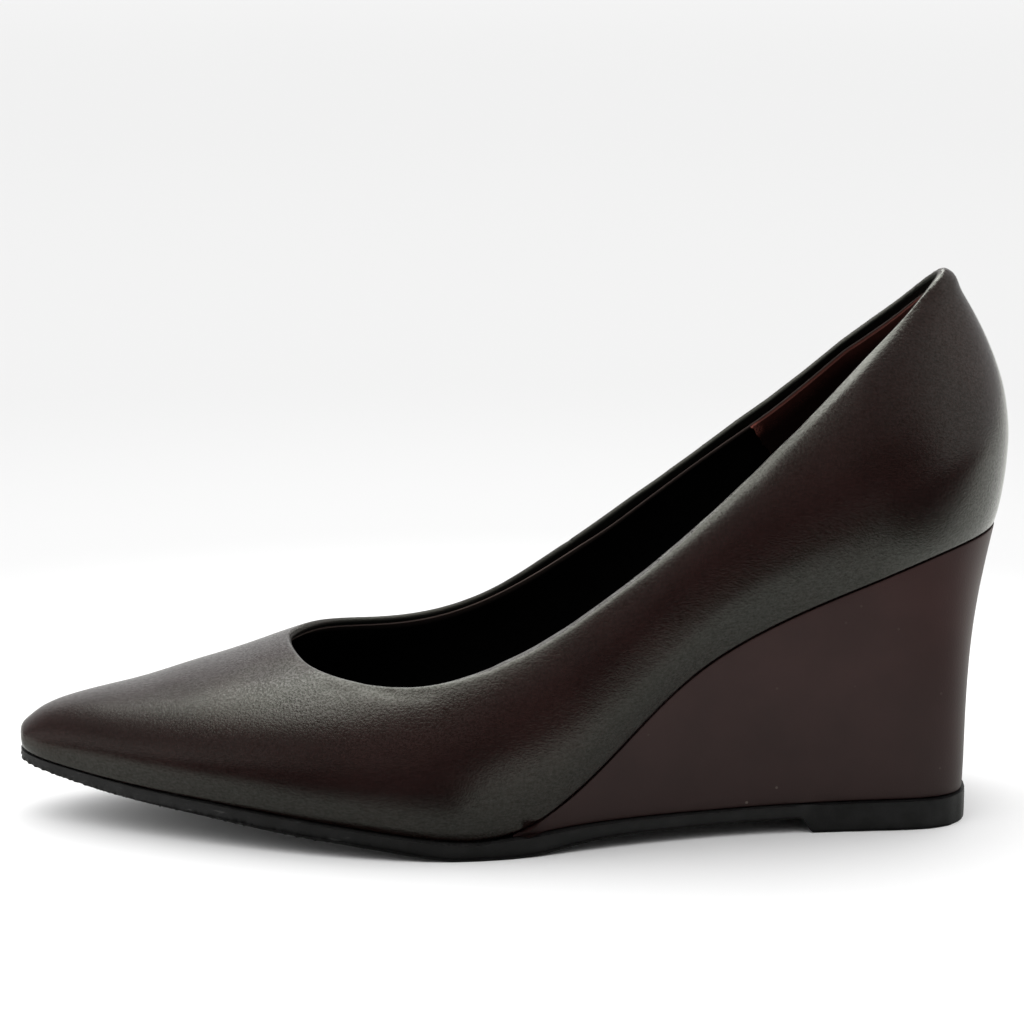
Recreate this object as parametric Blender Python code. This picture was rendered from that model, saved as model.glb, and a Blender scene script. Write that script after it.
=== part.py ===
"""A left wedge pump with a closed, pointed toe: hollow upper, insole, covered wedge and moulded outsole.

The shoe points along -X with its outer side towards -Y, and it stands on the floor at z = 0.
"""

import functools
import math
from collections import namedtuple

import bmesh
import bpy
import numpy as np
from mathutils import Matrix, Vector

MM = 0.001

# Driving dimensions, in millimetres
LENGTH = 240.0
BALL_WIDTH = 76.0
INSTEP_HEIGHT = 43.0
HEEL_HEIGHT = 70.0
WALL = 1.8
INSOLE_THICKNESS = 2.2
SOLE_PROUD = 0.6
GAP = 0.3

# Places along the shoe, in per cent of its length from the toe tip, and the run of the lift's sloped breast
THROAT = 27.6
VAMP_END = 60.0
WEDGE_FRONT = 49.0
LIFT_FRONT = 79.2
LIFT_SLOPE = 1.0
HEEL_CENTRE = 84.0

# Heel round, in millimetres ahead of the rearmost point, and the fullness of its curve
SEAT_TUCK = 2.5
FOOT_TUCK = 10.5
SEAT_FULLNESS = 2.1
FOOT_FULLNESS = 4.4

# Toe: swing of its tip to the inner side and overhang of its nose, in millimetres
TOE_SWING = 5.0
NOSE_OVERHANG = 1.2

# Length over which the nose's overhang fades, in per cent of the shoe's length
NOSE_FADE = 6.0

# Sections: share below the widest line, crowns at side and back, hollow of the wedge, inset of the insole
WIDEST_SHARE = 0.3
CROWN = 2.0
BACK_CROWN = 1.65
WEDGE_HOLLOW = 2.15
INSOLE_INSET = 2.2

# Facets: stations along a side and round half the heel, rows up the upper and up the wedge, edge of shading
SIDE_STEPS = 40
HEEL_STEPS = 12
UPPER_ROWS = 14
WEDGE_ROWS = 8
SHARP_ANGLE = math.radians(40)

# Crowding of the facets towards toe tip, back and feather edge, and the halvings that find the topline
TOE_CROWDING = 1.7
BACK_CROWDING = 1.25
ROW_CROWDING = 1.7
HALVINGS = 40

# Plan of the last's edge: half widths, swell of the upper, tuck of the wedge foot, in per cent of ball width
PLAN_COLUMNS = ("at", "outer", "inner", "swell", "tuck")
PLAN = (
    (0.0, -6.6, 6.6, 0.0, 0.0),
    (1.0, 0.7, 13.8, 0.7, 0.0),
    (3.0, 5.7, 18.4, 1.1, 0.0),
    (6.0, 10.9, 23.2, 1.6, 0.0),
    (12.0, 21.0, 30.8, 2.4, 0.0),
    (20.0, 32.5, 39.0, 2.9, 0.0),
    (28.0, 42.1, 45.0, 3.2, 0.0),
    (36.0, 49.2, 48.4, 3.2, 0.0),
    (44.0, 52.2, 47.4, 3.0, 0.0),
    (50.0, 50.5, 43.4, 3.3, 0.2),
    (56.0, 46.3, 38.7, 3.7, 0.8),
    (62.0, 42.1, 35.3, 4.1, 1.1),
    (70.0, 37.4, 32.9, 4.5, 1.3),
    (77.0, 35.1, 32.8, 4.5, 1.2),
    (84.0, 34.2, 33.7, 4.3, 1.0),
)

# Side view of the last: the feather edge and the widest line, in per cent of heel height
PROFILE_COLUMNS = ("at", "feather", "widest")
PROFILE = (
    (0.0, 23.8, 26.9),
    (1.0, 23.1, 27.3),
    (3.0, 21.9, 27.3),
    (6.0, 20.2, 27.2),
    (12.0, 17.5, 26.7),
    (20.0, 14.7, 26.0),
    (28.0, 11.8, 25.4),
    (36.0, 8.7, 24.6),
    (42.0, 6.3, 24.6),
    (46.0, 5.8, 25.4),
    (50.0, 8.8, 28.6),
    (54.0, 16.4, 35.7),
    (60.0, 35.0, 54.3),
    (66.0, 54.9, 73.6),
    (72.0, 67.9, 88.6),
    (78.0, 77.4, 100.0),
    (84.0, 85.6, 110.5),
    (92.0, 95.5, 123.0),
    (99.1, 101.2, 131.0),
)

# Ridge of the vamp, and behind the throat the height where the sides would close, per cent of instep height
RIDGE_COLUMNS = ("at", "ridge")
RIDGE = (
    (0.0, 43.8),
    (1.0, 53.9),
    (3.0, 61.5),
    (6.0, 66.6),
    (12.0, 73.3),
    (20.0, 85.6),
    (28.0, 101.0),
    (36.0, 117.4),
    (42.0, 128.0),
    (50.0, 146.5),
    (57.0, 171.0),
    (64.0, 198.5),
    (72.0, 231.0),
    (78.0, 252.5),
    (84.0, 275.0),
)

# Topline height on each side behind the throat, in per cent of heel height
TOPLINE_COLUMNS = ("at", "outer", "inner")
TOPLINE = (
    (29.2, 59.4, 62.4),
    (32.0, 57.4, 61.6),
    (35.5, 56.3, 60.0),
    (40.0, 56.6, 60.0),
    (45.0, 60.3, 64.0),
    (51.0, 69.4, 74.3),
    (57.0, 81.4, 88.0),
    (64.0, 99.4, 106.0),
    (72.0, 123.0, 126.4),
    (78.0, 141.1, 141.5),
    (84.0, 160.8, 159.8),
    (88.5, 174.3, 173.0),
    (91.5, 183.4, 182.8),
    (93.0, 187.2, 187.2),
)

# Outsole: its underside, and its upper side below the wedge, in per cent of heel height
TREAD_COLUMNS = ("at", "tread")
TREAD = (
    (0.0, 20.5),
    (3.0, 18.0),
    (6.0, 15.9),
    (12.0, 12.7),
    (20.0, 9.7),
    (28.0, 6.4),
    (36.0, 3.4),
    (40.0, 1.3),
    (43.0, -0.3),
    (46.5, -0.5),
    (50.5, -0.1),
    (54.0, 1.9),
    (58.0, 3.7),
    (64.0, 4.4),
    (72.0, 4.9),
    (82.0, 5.3),
)
BASE_COLUMNS = ("at", "base")
BASE = (
    (44.0, 6.4),
    (50.0, 6.4),
    (54.0, 7.6),
    (60.0, 8.6),
    (70.0, 9.0),
    (84.0, 9.9),
    (99.0, 10.0),
)

# Finish of each piece: colour, roughness
LEATHER_BROWN = ((0.035, 0.024, 0.022), 0.42)
WEDGE_BROWN = ((0.032, 0.018, 0.018), 0.55)
SOCK_BLACK = ((0.012, 0.011, 0.011), 0.7)
RUBBER_BLACK = ((0.012, 0.012, 0.013), 0.65)

OUTER = 1
INNER = -1
QUARTER = math.pi / 2

Station = namedtuple("Station", "side at turn")
Section = namedtuple("Section", "foot out edge widest z_edge z_widest z_ridge crown tuck")


def smooth_curve(knots, values):
    """Return the natural cubic spline through a table's column."""
    knots = np.asarray(knots, float)
    values = np.asarray(values, float)
    step = np.diff(knots)
    slope = np.diff(values) / step
    last = len(knots) - 1
    system = np.eye(last + 1)
    target = np.zeros(last + 1)
    for row in range(1, last):
        system[row, row - 1] = step[row - 1]
        system[row, row] = 2 * (step[row - 1] + step[row])
        system[row, row + 1] = step[row]
        target[row] = 6 * (slope[row] - slope[row - 1])
    bend = np.linalg.solve(system, target)

    def value(place):
        row = int(np.clip(np.searchsorted(knots, place) - 1, 0, last - 1))
        width = step[row]
        ahead = (knots[row + 1] - place) / width
        behind = (place - knots[row]) / width
        straight = values[row] * ahead + values[row + 1] * behind
        curved = bend[row] * (ahead ** 3 - ahead) + bend[row + 1] * (behind ** 3 - behind)
        return straight + curved * width ** 2 / 6

    return value


def columns(names, rows, unit):
    """Return a table's columns as curves in millimetres over the root of the distance from the toe."""
    table = dict(zip(names, zip(*rows)))
    reach = [math.sqrt(at) for at in table["at"]]
    curves = {}
    for name in names[1:]:
        curves[name] = smooth_curve(reach, [value * unit / 100 for value in table[name]])
    return curves


def edge_curve():
    """Return the last's edge as one curve: inner side below zero, toe tip at zero, outer side above."""
    table = dict(zip(PLAN_COLUMNS, zip(*PLAN)))
    reach = [math.sqrt(at) for at in table["at"]]
    knots = [-place for place in reach[:0:-1]] + reach
    values = list(table["inner"][:0:-1]) + [-value for value in table["outer"]]
    return smooth_curve(knots, [value * BALL_WIDTH / 100 for value in values])


EDGE = edge_curve()
PLAN_CURVES = columns(PLAN_COLUMNS, PLAN, BALL_WIDTH)
PROFILE_CURVES = columns(PROFILE_COLUMNS, PROFILE, HEEL_HEIGHT)
RIDGE_CURVE = columns(RIDGE_COLUMNS, RIDGE, INSTEP_HEIGHT)["ridge"]
TREAD_CURVE = columns(TREAD_COLUMNS, TREAD, HEEL_HEIGHT)["tread"]
BASE_CURVE = columns(BASE_COLUMNS, BASE, HEEL_HEIGHT)["base"]


def x_at(at):
    """Return the place along X of a distance from the toe given in per cent."""
    return LENGTH * (at / 100 - 0.5)


def at_x(x):
    """Return the distance from the toe, in per cent, of a place along X."""
    return (x / LENGTH + 0.5) * 100


def height(name, at):
    """Return a height of the last's side view."""
    return PROFILE_CURVES[name](math.sqrt(max(at, 0.0)))


def ridge_y(at):
    """Return how far the ridge of the vamp swings towards the inner side."""
    return TOE_SWING * (1 - min(at / HEEL_CENTRE, 1.0))


def edge_reach(side, at):
    """Return the distance from the ridge's plan line out to the feather edge."""
    return side * (ridge_y(at) - EDGE(side * math.sqrt(at)))


def heel_round(across, back, turn, fullness):
    """Return the reach of the heel's outline at an angle from the rearmost point."""
    part = (math.cos(turn) / back) ** fullness + (math.sin(turn) / across) ** fullness
    return part ** (-1 / fullness)


def nose_tuck(at):
    """Return how far the feather edge lies behind the nose of the toe."""
    return NOSE_OVERHANG * max(1 - at / NOSE_FADE, 0.0) ** 2


def plan_direction(side, turn):
    """Return the outward direction in plan, where a quarter turn points straight to the side."""
    return Vector((math.cos(turn), -side * math.sin(turn), 0.0))


def section(station):
    """Return the last's section at a station on a side or round the heel."""
    side, at, turn = station
    edge = edge_reach(side, at)
    widest = edge + PLAN_CURVES["swell"](math.sqrt(at))
    foot = Vector((x_at(at), ridge_y(at), 0.0))
    if turn == QUARTER:
        shape = Section(foot, plan_direction(side, turn), edge, widest, height("feather", at),
                        height("widest", at), RIDGE_CURVE(math.sqrt(at)), CROWN, nose_tuck(at))
    else:
        shape = heel_section(station, foot, edge, widest)
    return shape


def heel_section(station, foot, side_edge, side_widest):
    """Return a section round the heel, which leans in so that it passes through the topline."""
    out = plan_direction(station.side, station.turn)
    back = x_at(100) - foot.x
    edge = heel_round(side_edge, back - SEAT_TUCK, station.turn, SEAT_FULLNESS)
    widest = heel_round(side_widest, back, station.turn, SEAT_FULLNESS)
    at = at_x(foot.x + edge * out.x)
    z_widest = height("widest", at)
    reach = opening_reach(station)
    level = TOPLINES[station.side](at_x(foot.x + reach * out.x))
    crown = CROWN + (BACK_CROWN - CROWN) * out.x
    lean = math.asin((reach / widest) ** (crown / 2))
    z_ridge = z_widest + (level - z_widest) / math.cos(lean) ** (2 / crown)
    return Section(foot, out, edge, widest, height("feather", at), z_widest, z_ridge, crown, 0.0)


def opening_reach(station):
    """Return the reach of the topline round the heel, whose plan narrows to the back as a parabola."""
    depth = x_at(TOPLINE[-1][0]) - x_at(HEEL_CENTRE)
    squeeze = half_opening(station.side) ** 2 / depth
    along = math.cos(station.turn)
    across = math.sin(station.turn)
    if station.turn == 0.0:
        return depth
    root = math.sqrt((squeeze * along) ** 2 + 4 * across ** 2 * squeeze * depth)
    return (root - squeeze * along) / (2 * across ** 2)


def section_point(shape, climb):
    """Return the point of a section at a climb from the feather edge, 0, to the ridge, 1."""
    tuck = 0.0
    if climb < WIDEST_SHARE:
        low = 1 - climb / WIDEST_SHARE
        tuck = shape.tuck * low ** 2
        reach = shape.widest - (shape.widest - shape.edge) * low ** 2
        level = shape.z_widest - (shape.z_widest - shape.z_edge) * low
    else:
        lean = QUARTER * (1 - climb) / (1 - WIDEST_SHARE)
        power = 2 / shape.crown
        reach = shape.widest * math.sin(lean) ** power
        level = shape.z_widest + (shape.z_ridge - shape.z_widest) * math.cos(lean) ** power
    return shape.foot + shape.out * reach + Vector((tuck, 0.0, level))


def topline_curves():
    """Return the topline's height over the length for each side, from the ridge at the throat."""
    table = dict(zip(TOPLINE_COLUMNS, zip(*TOPLINE)))
    curves = {}
    for side, name in ((OUTER, "outer"), (INNER, "inner")):
        levels = [RIDGE_CURVE(math.sqrt(THROAT))] + [value * HEEL_HEIGHT / 100 for value in table[name]]
        curves[side] = smooth_curve([THROAT] + list(table["at"]), levels)
    return curves


TOPLINES = topline_curves()


def topline_climb(shape, side):
    """Return the climb at which a section meets the topline, which a side view cuts from the last."""
    low, high = WIDEST_SHARE, 1.0
    for _ in range(HALVINGS):
        middle = (low + high) / 2
        point = section_point(shape, middle)
        if point.z < TOPLINES[side](at_x(point.x)):
            low = middle
        else:
            high = middle
    return (low + high) / 2


@functools.cache
def half_opening(side):
    """Return the reach of the topline at the heel centre, from its plan line out to the side."""
    shape = section(Station(side, HEEL_CENTRE, QUARTER))
    return abs(section_point(shape, topline_climb(shape, side)).y - shape.foot.y)


def topline_at(at):
    """Return where along the shoe the upper's line from a place on the feather edge meets the topline."""
    ahead = max(1 - at / VAMP_END, 0.0)
    return at + THROAT * ahead ** 2


def upper_point(station, row):
    """Return the point of the upper's outside on a station's line, in rows from feather edge to topline."""
    share = (row / UPPER_ROWS) ** (1 + (ROW_CROWDING - 1) * max(1 - station.at / VAMP_END, 0.0))
    start = section(station)
    if row == 0:
        return section_point(start, 0.0)
    end_station = station._replace(at=topline_at(station.at))
    end = section(end_station)
    end_climb = topline_climb(end, station.side)
    if station.at >= VAMP_END:
        return section_point(start, end_climb * share)
    offset = start.edge + ((1 - end_climb) * end.edge - start.edge) * share
    here = section(station._replace(at=station.at + (end_station.at - station.at) * share))
    return section_point(here, 1 - offset / here.edge)


def side_places(extra=()):
    """Return places along a side, close together at the toe, with any extra ones put in order."""
    regular = [HEEL_CENTRE * (step / SIDE_STEPS) ** TOE_CROWDING for step in range(SIDE_STEPS + 1)]
    return sorted(regular + list(extra))


def loop_stations(places):
    """Return the stations of a loop from the toe along the outer side, round the heel and back inside."""
    outer = [Station(OUTER, at, QUARTER) for at in places]
    inner = [Station(INNER, at, QUARTER) for at in places]
    turns = [QUARTER * (1 - step / HEEL_STEPS) ** BACK_CROWDING for step in range(1, HEEL_STEPS + 1)]
    outer += [Station(OUTER, places[-1], turn) for turn in turns]
    inner += [Station(INNER, places[-1], turn) for turn in turns[:-1]]
    if places[0] == 0.0:
        inner = inner[1:]
    return outer + inner[::-1]


def outline_point(station, tuck):
    """Return the plan point on the feather edge's outline, or on the wedge foot's where tuck is 1."""
    at = station.at
    edge = edge_reach(station.side, at) - tuck * PLAN_CURVES["tuck"](math.sqrt(at))
    foot = Vector((x_at(at) + nose_tuck(at), ridge_y(at), 0.0))
    if station.turn < QUARTER:
        back = x_at(100) - foot.x - SEAT_TUCK - tuck * (FOOT_TUCK - SEAT_TUCK)
        fullness = SEAT_FULLNESS + tuck * (FOOT_FULLNESS - SEAT_FULLNESS)
        edge = heel_round(edge, back, station.turn, fullness)
    return foot + plan_direction(station.side, station.turn) * edge


def grown(loop, distance):
    """Return a plan loop moved outward by a distance, or inward where it is negative."""
    moved = []
    for index, point in enumerate(loop):
        along = loop[(index + 1) % len(loop)] - loop[index - 1]
        moved.append(point + Vector((along.y, -along.x, 0.0)).normalized() * distance)
    return moved


def raised(loop, level):
    """Return a plan loop with each point at the height that a function of the place gives."""
    return [Vector((point.x, point.y, level(at_x(point.x)))) for point in loop]


def feather_level(at):
    """Return the height of the last's underside, where the upper ends."""
    return height("feather", at)


def wedge_top_level(at):
    """Return the height of the wedge's upper side."""
    return feather_level(at) - GAP


def outsole_top_level(at):
    """Return the height of the outsole's upper side, below the upper or below the wedge."""
    if at < BASE[0][0]:
        return feather_level(at) - GAP
    return min(feather_level(at) - GAP, BASE_CURVE(math.sqrt(at)))


def wedge_foot_level(at):
    """Return the height of the wedge's underside."""
    return BASE_CURVE(math.sqrt(at)) + GAP


def outsole_bottom_level(at):
    """Return the height of the outsole's underside: flat at the ball and lift, raised at toe and waist."""
    arch = max(TREAD_CURVE(math.sqrt(max(at, 0.0))), 0.0)
    share = min(max((LIFT_FRONT - at) / LIFT_SLOPE, 0.0), 1.0)
    return arch * share


def new_object(name, mesh_data, finish):
    """Make a smooth-shaded object from a bmesh, with its own material."""
    bmesh.ops.scale(mesh_data, vec=(MM, MM, MM), verts=mesh_data.verts)
    mesh = bpy.data.meshes.new(name)
    mesh_data.to_mesh(mesh)
    mesh_data.free()
    mesh.shade_smooth()
    mesh.set_sharp_from_angle(angle=SHARP_ANGLE)
    piece = bpy.data.objects.new(name, mesh)
    bpy.context.scene.collection.objects.link(piece)
    colour, roughness = finish
    material = bpy.data.materials.new(name)
    material.use_nodes = True
    shader = material.node_tree.nodes["Principled BSDF"]
    shader.inputs["Base Color"].default_value = (*colour, 1.0)
    shader.inputs["Roughness"].default_value = roughness
    shader.inputs["Metallic"].default_value = 0.0
    mesh.materials.append(material)
    return piece


def skin(mesh_data, loops):
    """Join each loop of points to the next with a band of faces, and return the loops of vertices."""
    rings = [[mesh_data.verts.new(point) for point in loop] for loop in loops]
    for lower, upper in zip(rings, rings[1:]):
        for index in range(len(lower)):
            after = (index + 1) % len(lower)
            mesh_data.faces.new((lower[index], lower[after], upper[after], upper[index]))
    return rings


def cap(mesh_data, ring, pairs, facing_up):
    """Close a loop of vertices with strips that run straight across from its outer side to its inner side."""
    for (outer, inner), (next_outer, next_inner) in zip(pairs, pairs[1:]):
        corners = []
        for index in (outer, next_outer, next_inner, inner):
            if ring[index] not in corners:
                corners.append(ring[index])
        mesh_data.faces.new(corners if facing_up else corners[::-1])


def loop_pairs(count, pointed):
    """Return the pairs of opposite stations of a loop, which starts at its toe tip where it is pointed."""
    shift = 0 if pointed else 1
    return [(index, (-index - shift) % count) for index in range(count // 2 + 1)]


def make_upper():
    """Make the upper as a sheet from the feather edge to the topline, thickened inward to its wall."""
    stations = loop_stations(side_places())
    sheet = bmesh.new()
    skin(sheet, [[upper_point(station, row) for station in stations] for row in range(UPPER_ROWS + 1)])
    upper = new_object("upper", sheet, LEATHER_BROWN)
    wall = upper.modifiers.new("wall", "SOLIDIFY")
    wall.thickness = WALL * MM
    wall.offset = -1.0
    return upper


def plate(name, loops, finish, pointed):
    """Make a solid from loops stacked upward, closed across its lowest and highest loop."""
    solid = bmesh.new()
    rings = skin(solid, loops)
    pairs = loop_pairs(len(loops[0]), pointed)
    cap(solid, rings[0], pairs, False)
    cap(solid, rings[-1], pairs, True)
    return new_object(name, solid, finish)


def make_insole():
    """Make the insole, which lies inside the upper's wall just above the wedge and the outsole."""
    stations = loop_stations(side_places())
    plan = grown([outline_point(station, 0) for station in stations], -INSOLE_INSET)
    lower = raised(plan, feather_level)
    upper = [point + Vector((0.0, 0.0, INSOLE_THICKNESS)) for point in lower]
    return plate("insole", [lower, upper], SOCK_BLACK, True)


def make_wedge_heel():
    """Make the wedge, whose sides run from the outsole up to the feather edge with a slight hollow."""
    stations = loop_stations([at for at in side_places((WEDGE_FRONT,)) if at >= WEDGE_FRONT])
    top = raised([outline_point(station, 0) for station in stations], wedge_top_level)
    foot = raised([outline_point(station, 1) for station in stations], wedge_foot_level)
    loops = []
    for row in range(WEDGE_ROWS + 1):
        rise = row / WEDGE_ROWS
        spread = rise ** WEDGE_HOLLOW
        loop = []
        for low, high in zip(foot, top):
            point = low.lerp(high, spread)
            point.z = low.z + (high.z - low.z) * rise
            loop.append(point)
        loops.append(loop)
    return plate("wedge_heel", loops, WEDGE_BROWN, False)


def make_outsole():
    """Make the outsole with toe spring, a raised waist and the heel lift in one piece."""
    places = side_places((LIFT_FRONT - LIFT_SLOPE, LIFT_FRONT))
    plan = grown([outline_point(station, 1) for station in loop_stations(places)], SOLE_PROUD)
    lower = raised(plan, outsole_bottom_level)
    upper = raised(plan, outsole_top_level)
    return plate("outsole", [lower, upper], RUBBER_BLACK, True)


def settle(pieces):
    """Move the pieces together so that the origin lies at the bottom centre of their common box."""
    points = [vertex.co for piece in pieces for vertex in piece.data.vertices]
    lowest = Vector([min(point[axis] for point in points) for axis in range(3)])
    highest = Vector([max(point[axis] for point in points) for axis in range(3)])
    centre = (lowest + highest) / 2
    shift = Matrix.Translation((-centre.x, -centre.y, -lowest.z))
    for piece in pieces:
        piece.data.transform(shift)


def main():
    for leftover in list(bpy.data.objects):
        bpy.data.objects.remove(leftover, do_unlink=True)
    settle([make_upper(), make_insole(), make_wedge_heel(), make_outsole()])


main()
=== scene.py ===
"""Looks of a left wedge pump: leather upper, lining, heel grip, sock, covered wedge, outsole and studio."""

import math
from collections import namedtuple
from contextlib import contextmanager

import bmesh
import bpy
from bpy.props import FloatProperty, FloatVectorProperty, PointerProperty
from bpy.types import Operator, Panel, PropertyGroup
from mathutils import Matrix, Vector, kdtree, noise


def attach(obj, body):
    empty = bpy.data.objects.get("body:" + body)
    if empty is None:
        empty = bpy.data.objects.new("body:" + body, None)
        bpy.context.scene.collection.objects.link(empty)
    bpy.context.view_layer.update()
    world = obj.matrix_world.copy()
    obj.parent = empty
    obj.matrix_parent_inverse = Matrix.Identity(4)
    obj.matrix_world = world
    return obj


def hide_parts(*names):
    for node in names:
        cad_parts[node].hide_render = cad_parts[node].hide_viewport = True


bl_info = {
    "name": "Wedge Pump",
    "version": (1, 0, 0),
    "blender": (4, 5, 0),
    "location": "View3D > Sidebar > Wedge Pump",
    "description": "Models and finishes a left wedge pump around its packed solids",
    "category": "Object",
}

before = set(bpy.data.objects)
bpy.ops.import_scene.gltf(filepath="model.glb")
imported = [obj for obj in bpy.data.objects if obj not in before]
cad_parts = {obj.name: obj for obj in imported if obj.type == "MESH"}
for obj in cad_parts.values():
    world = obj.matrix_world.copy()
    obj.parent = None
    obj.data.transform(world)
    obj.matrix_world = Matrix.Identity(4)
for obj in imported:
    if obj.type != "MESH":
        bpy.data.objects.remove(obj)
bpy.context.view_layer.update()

BODY = "root"
MM = 0.001

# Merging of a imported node: distance, and how strongly the grid of four-sided faces is sought
MERGE_DISTANCE = 0.001 * MM
GRID_FIRST = 2.0

# Angles between faces: at a rim, at an edge of the outsole that stays sharp, and where shading breaks
RIM_ANGLE = math.radians(60)
STEP_ANGLE = math.radians(35)
SHADING_ANGLE = math.radians(40)

# Smoothing: its levels, rounds of fitting, the longest edge of a rounded rim, and the crease of a sharp edge
LEVELS = 2
FIT_ROUNDS = 2
RIM_STEP = 1.3 * MM
FULL_CREASE = 1.0

# Rounded rims: segments of a rim and of the topline, and the profile of a round one
RIM_SEGMENTS = 2
TOPLINE_SEGMENTS = 3
ROUND_PROFILE = 0.5

# Steps between two neighbours on a line, when distances from the line are measured
LINE_STEPS = 8

# Places on the shoe in millimetres from the middle: toe side below zero, and the toe's tip across the shoe
TOE_X = -108.0
BALL_X = -10.0
WEDGE_TIP_X = 8.0
LIFT_X = 72.0
TIP_Y = 7.0

# Soft steps along the shoe or across it start at a first place and end at a second, in millimetres
HEEL_BEGINS = (15.0, 62.0)
HEEL_EASES = (74.0, 94.0)
WAIST_BEGINS = (-22.0, -2.0)
WAIST_ENDS = (34.0, 56.0)
OUTER_SIDE = (2.0, 12.0)
INNER_SIDE = (4.0, 12.0)

# Rolled topline in millimetres: its depth and width, what the heel adds to them, the share of it that eases
# off at the back, and the roundness of the roll
ROLL_DEPTH = 0.30
ROLL_WIDTH = 1.2
HEEL_ROLL_DEPTH = 0.75
HEEL_ROLL_WIDTH = 1.8
HEEL_EASE = 0.5
ROLL_POWER = 1.25

# Swelling of the leather at heel and waist: its height, and where it starts and ends below the topline
HEEL_SWELL = 0.3
HEEL_SWELL_BEGINS = (0.8, 4.8)
HEEL_SWELL_ENDS = (5.0, 14.0)
WAIST_SWELL = 1.45
WAIST_SWELL_BEGINS = (0.1, 1.05)
WAIST_SWELL_REACH = 18.0
WAIST_SWELL_POWER = 1.4

# How far the topline's rise and fall are felt below it, and the place, width and reach of the peak's filling
HEIGHT_REACH = 9.0
PEAK_FILL_AT = 2.6
PEAK_FILL_WIDTH = 3.0
PEAK_REACH = 8.0 * MM

# Lower edge of the upper, in millimetres: where it stops coming out and down to the outsole, and how far
# above it this is felt
FEATHER_ENDS = (WEDGE_TIP_X - 8.0, WEDGE_TIP_X + 4.0)
FEATHER_OUT_REACH = 3.5
FEATHER_OUT_POWER = 1.5
FEATHER_DOWN_REACH = 1.5

# Length behind the side seam over which the facing widens
SEAM_RISE = 8.0 * MM

# Sheets inside: gaps below lining and grip, the grip's distance below the facing, and the width and fading of
# the lining's cut edge in millimetres
LINING_GAP = 0.02 * MM
GRIP_GAP = 0.05 * MM
GRIP_BELOW_FACING = 0.2 * MM
CUT_EDGE = 0.6
CUT_EDGE_POWER = 0.5

# Frayed front edge of the heel grip: how close to the cut it is, the size of a tuft and its length
FRAY_NEAR = 0.05 * MM
FRAY_SIZE = 0.9 * MM
FRAY_LENGTH = 0.7 * MM

# Plates: least upright lean of the caps, width of the ring that holds their shape, rounding of the sock, and
# reach of the wedge's swollen back
CAP_LEAN = 0.4
CAP_RING = 2.0
SOCK_ROUND = 0.5 * MM
BACK_REACH = 17.0 * MM

# Outsole: ring around its caps and rounding of its rims as shares of the rounding at the toe
OUTSOLE_RING = 1.1
FOREFOOT_RIM_SHARE = 0.46
BACK_RIM_SHARE = 0.11
TOP_RIM_SHARE = 0.11

# Side of the outsole, from level 0 at the tread to 1 at the top: its upper half, the cuts along that half,
# the moulded line's levels and end, and the level where the crinkle ends
UPPER_HALF = (0.5, 1.0)
SIDE_CUTS = 3
GROOVE_LEVELS = (0.7, 0.8)
GROOVE_END_X = BALL_X - 20.0
CRINKLE_TOP = 0.5

# Crinkled forefoot edge: its end and fading along the shoe in millimetres, its slant round the toe, length
# and filling of a scallop, the wandering of the scallops, the crumbs on them, and how steep a side takes them
CRINKLE_END_X = BALL_X - 15.0
CRINKLE_FADE = 25.0
CRINKLE_ALONG = 0.91
CRINKLE_ACROSS = 0.41
SCALLOP = 2.2 * MM
SCALLOP_FILL = 0.6
DRIFT_SIZE = 6.0 * MM
CRUMB_SIZE = 0.8 * MM
CRUMB_SHARE = 0.6
STEEPNESS = 3.0

# Leather: tint of its gloss, and where the patterns of its finish and its painted highlight start and end in
# millimetres, along the shoe, across it or below the topline
GLOSS_TINT = (0.90, 1.0, 0.875, 1.0)
# Painted highlight along the near topline: its reach below the topline, the side it keeps to, and its end
# toward the peak
PAINTED_RIM_HIGHLIGHT = (0.40, 0.95)
PAINTED_RIM_HIGHLIGHT_SIDE = (-6.0, 8.0)
PAINTED_RIM_HIGHLIGHT_ENDS = (82.0, 94.0)
WRINKLES_BELOW = (1.2, 5.0)
WRINKLES_BEGIN = (10.0, 45.0)
WRINKLE_ALONG = 0.77
WRINKLE_UP = 0.64
SEAM_WIDTH = (0.15, 0.7)
SEAM_SIDE = (8.0, 12.0)
COARSE_BEGINS = (-78.0, -60.0)
COARSE_ENDS = (-20.0, 14.0)
COARSE_BELOW = (11.0, 22.0)
STROKE_STRETCH = (0.34, 1.0, 1.0)

# Wedge and outsole, in millimetres: heights of the specked foot and of the cover's painted shade, which
# darkens it toward its foot, the ends of the scuffs and of the paler rubber ahead of the lift along the
# shoe, and their colours
SPECKED_FOOT = (7.5, 16.0)
COVER_PAINTED_SHADE = (4.0, 58.0)
SCUFFS_END = (BALL_X, BALL_X + 14.0)
PALER_FRONT_ENDS = (LIFT_X - 10.0, LIFT_X)
BLACK = (0.0, 0.0, 0.0, 1.0)
SPECK_COLOUR = (0.22, 0.18, 0.16, 1.0)
PALE_RUBBER_COLOUR = (0.16, 0.155, 0.15, 1.0)

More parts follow.
